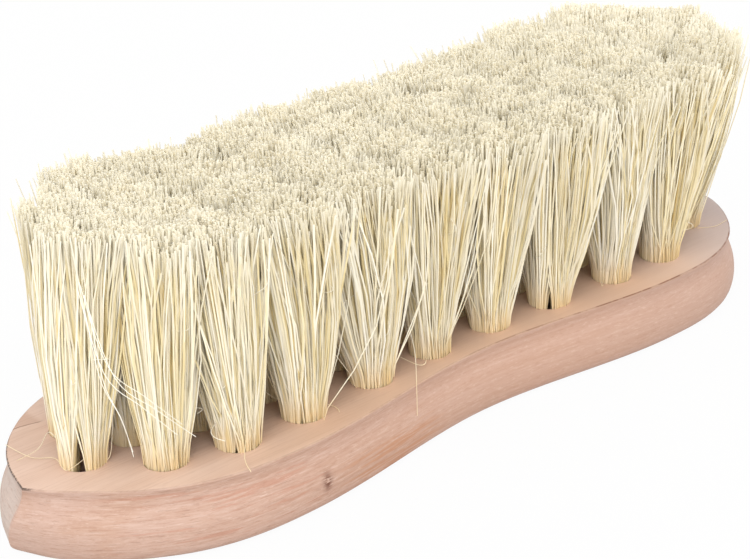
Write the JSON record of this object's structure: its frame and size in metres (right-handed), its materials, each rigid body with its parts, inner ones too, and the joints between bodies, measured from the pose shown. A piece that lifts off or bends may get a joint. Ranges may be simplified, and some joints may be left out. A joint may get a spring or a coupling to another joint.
{
  "type": "horse grooming brush",
  "caption": "Hand-held grooming brush: hourglass wooden stock with pointed ends, bored for folded tufts of pale plant-fibre bristle trimmed level.",
  "frame": {"origin": "middle of the flat back of the stock, which is the middle of the bottom of the bounding box", "axes": "+X along the brush, +Y across it, +Z from the back of the stock up to the trimmed bristle ends"},
  "size_m": [0.2132, 0.0642, 0.0635],
  "materials": {
    "stock_wood": "bare sanded pinkish-tan hardwood, fine straight grain, not varnished",
    "bristle_fibre": "stiff cream to straw-coloured plant fibre with a dull sheen"
  },
  "bodies": {
    "root": {"stock": "stock_wood", "tuft_01": "bristle_fibre", "tuft_02": "bristle_fibre", "tuft_03": "bristle_fibre", "tuft_04": "bristle_fibre", "tuft_05": "bristle_fibre", "tuft_06": "bristle_fibre", "tuft_07": "bristle_fibre", "tuft_08": "bristle_fibre", "tuft_09": "bristle_fibre", "tuft_10": "bristle_fibre", "tuft_11": "bristle_fibre", "tuft_12": "bristle_fibre", "tuft_13": "bristle_fibre", "tuft_14": "bristle_fibre", "tuft_15": "bristle_fibre", "tuft_16": "bristle_fibre", "tuft_17": "bristle_fibre", "tuft_18": "bristle_fibre", "tuft_19": "bristle_fibre", "tuft_20": "bristle_fibre", "tuft_21": "bristle_fibre", "tuft_22": "bristle_fibre", "tuft_23": "bristle_fibre", "tuft_24": "bristle_fibre", "tuft_25": "bristle_fibre", "tuft_26": "bristle_fibre", "tuft_27": "bristle_fibre", "tuft_28": "bristle_fibre", "tuft_29": "bristle_fibre", "tuft_30": "bristle_fibre", "tuft_31": "bristle_fibre", "tuft_32": "bristle_fibre", "tuft_33": "bristle_fibre", "tuft_34": "bristle_fibre", "tuft_35": "bristle_fibre", "tuft_36": "bristle_fibre", "tuft_37": "bristle_fibre", "tuft_38": "bristle_fibre", "tuft_39": "bristle_fibre", "tuft_40": "bristle_fibre"}
  },
  "joints": []
}
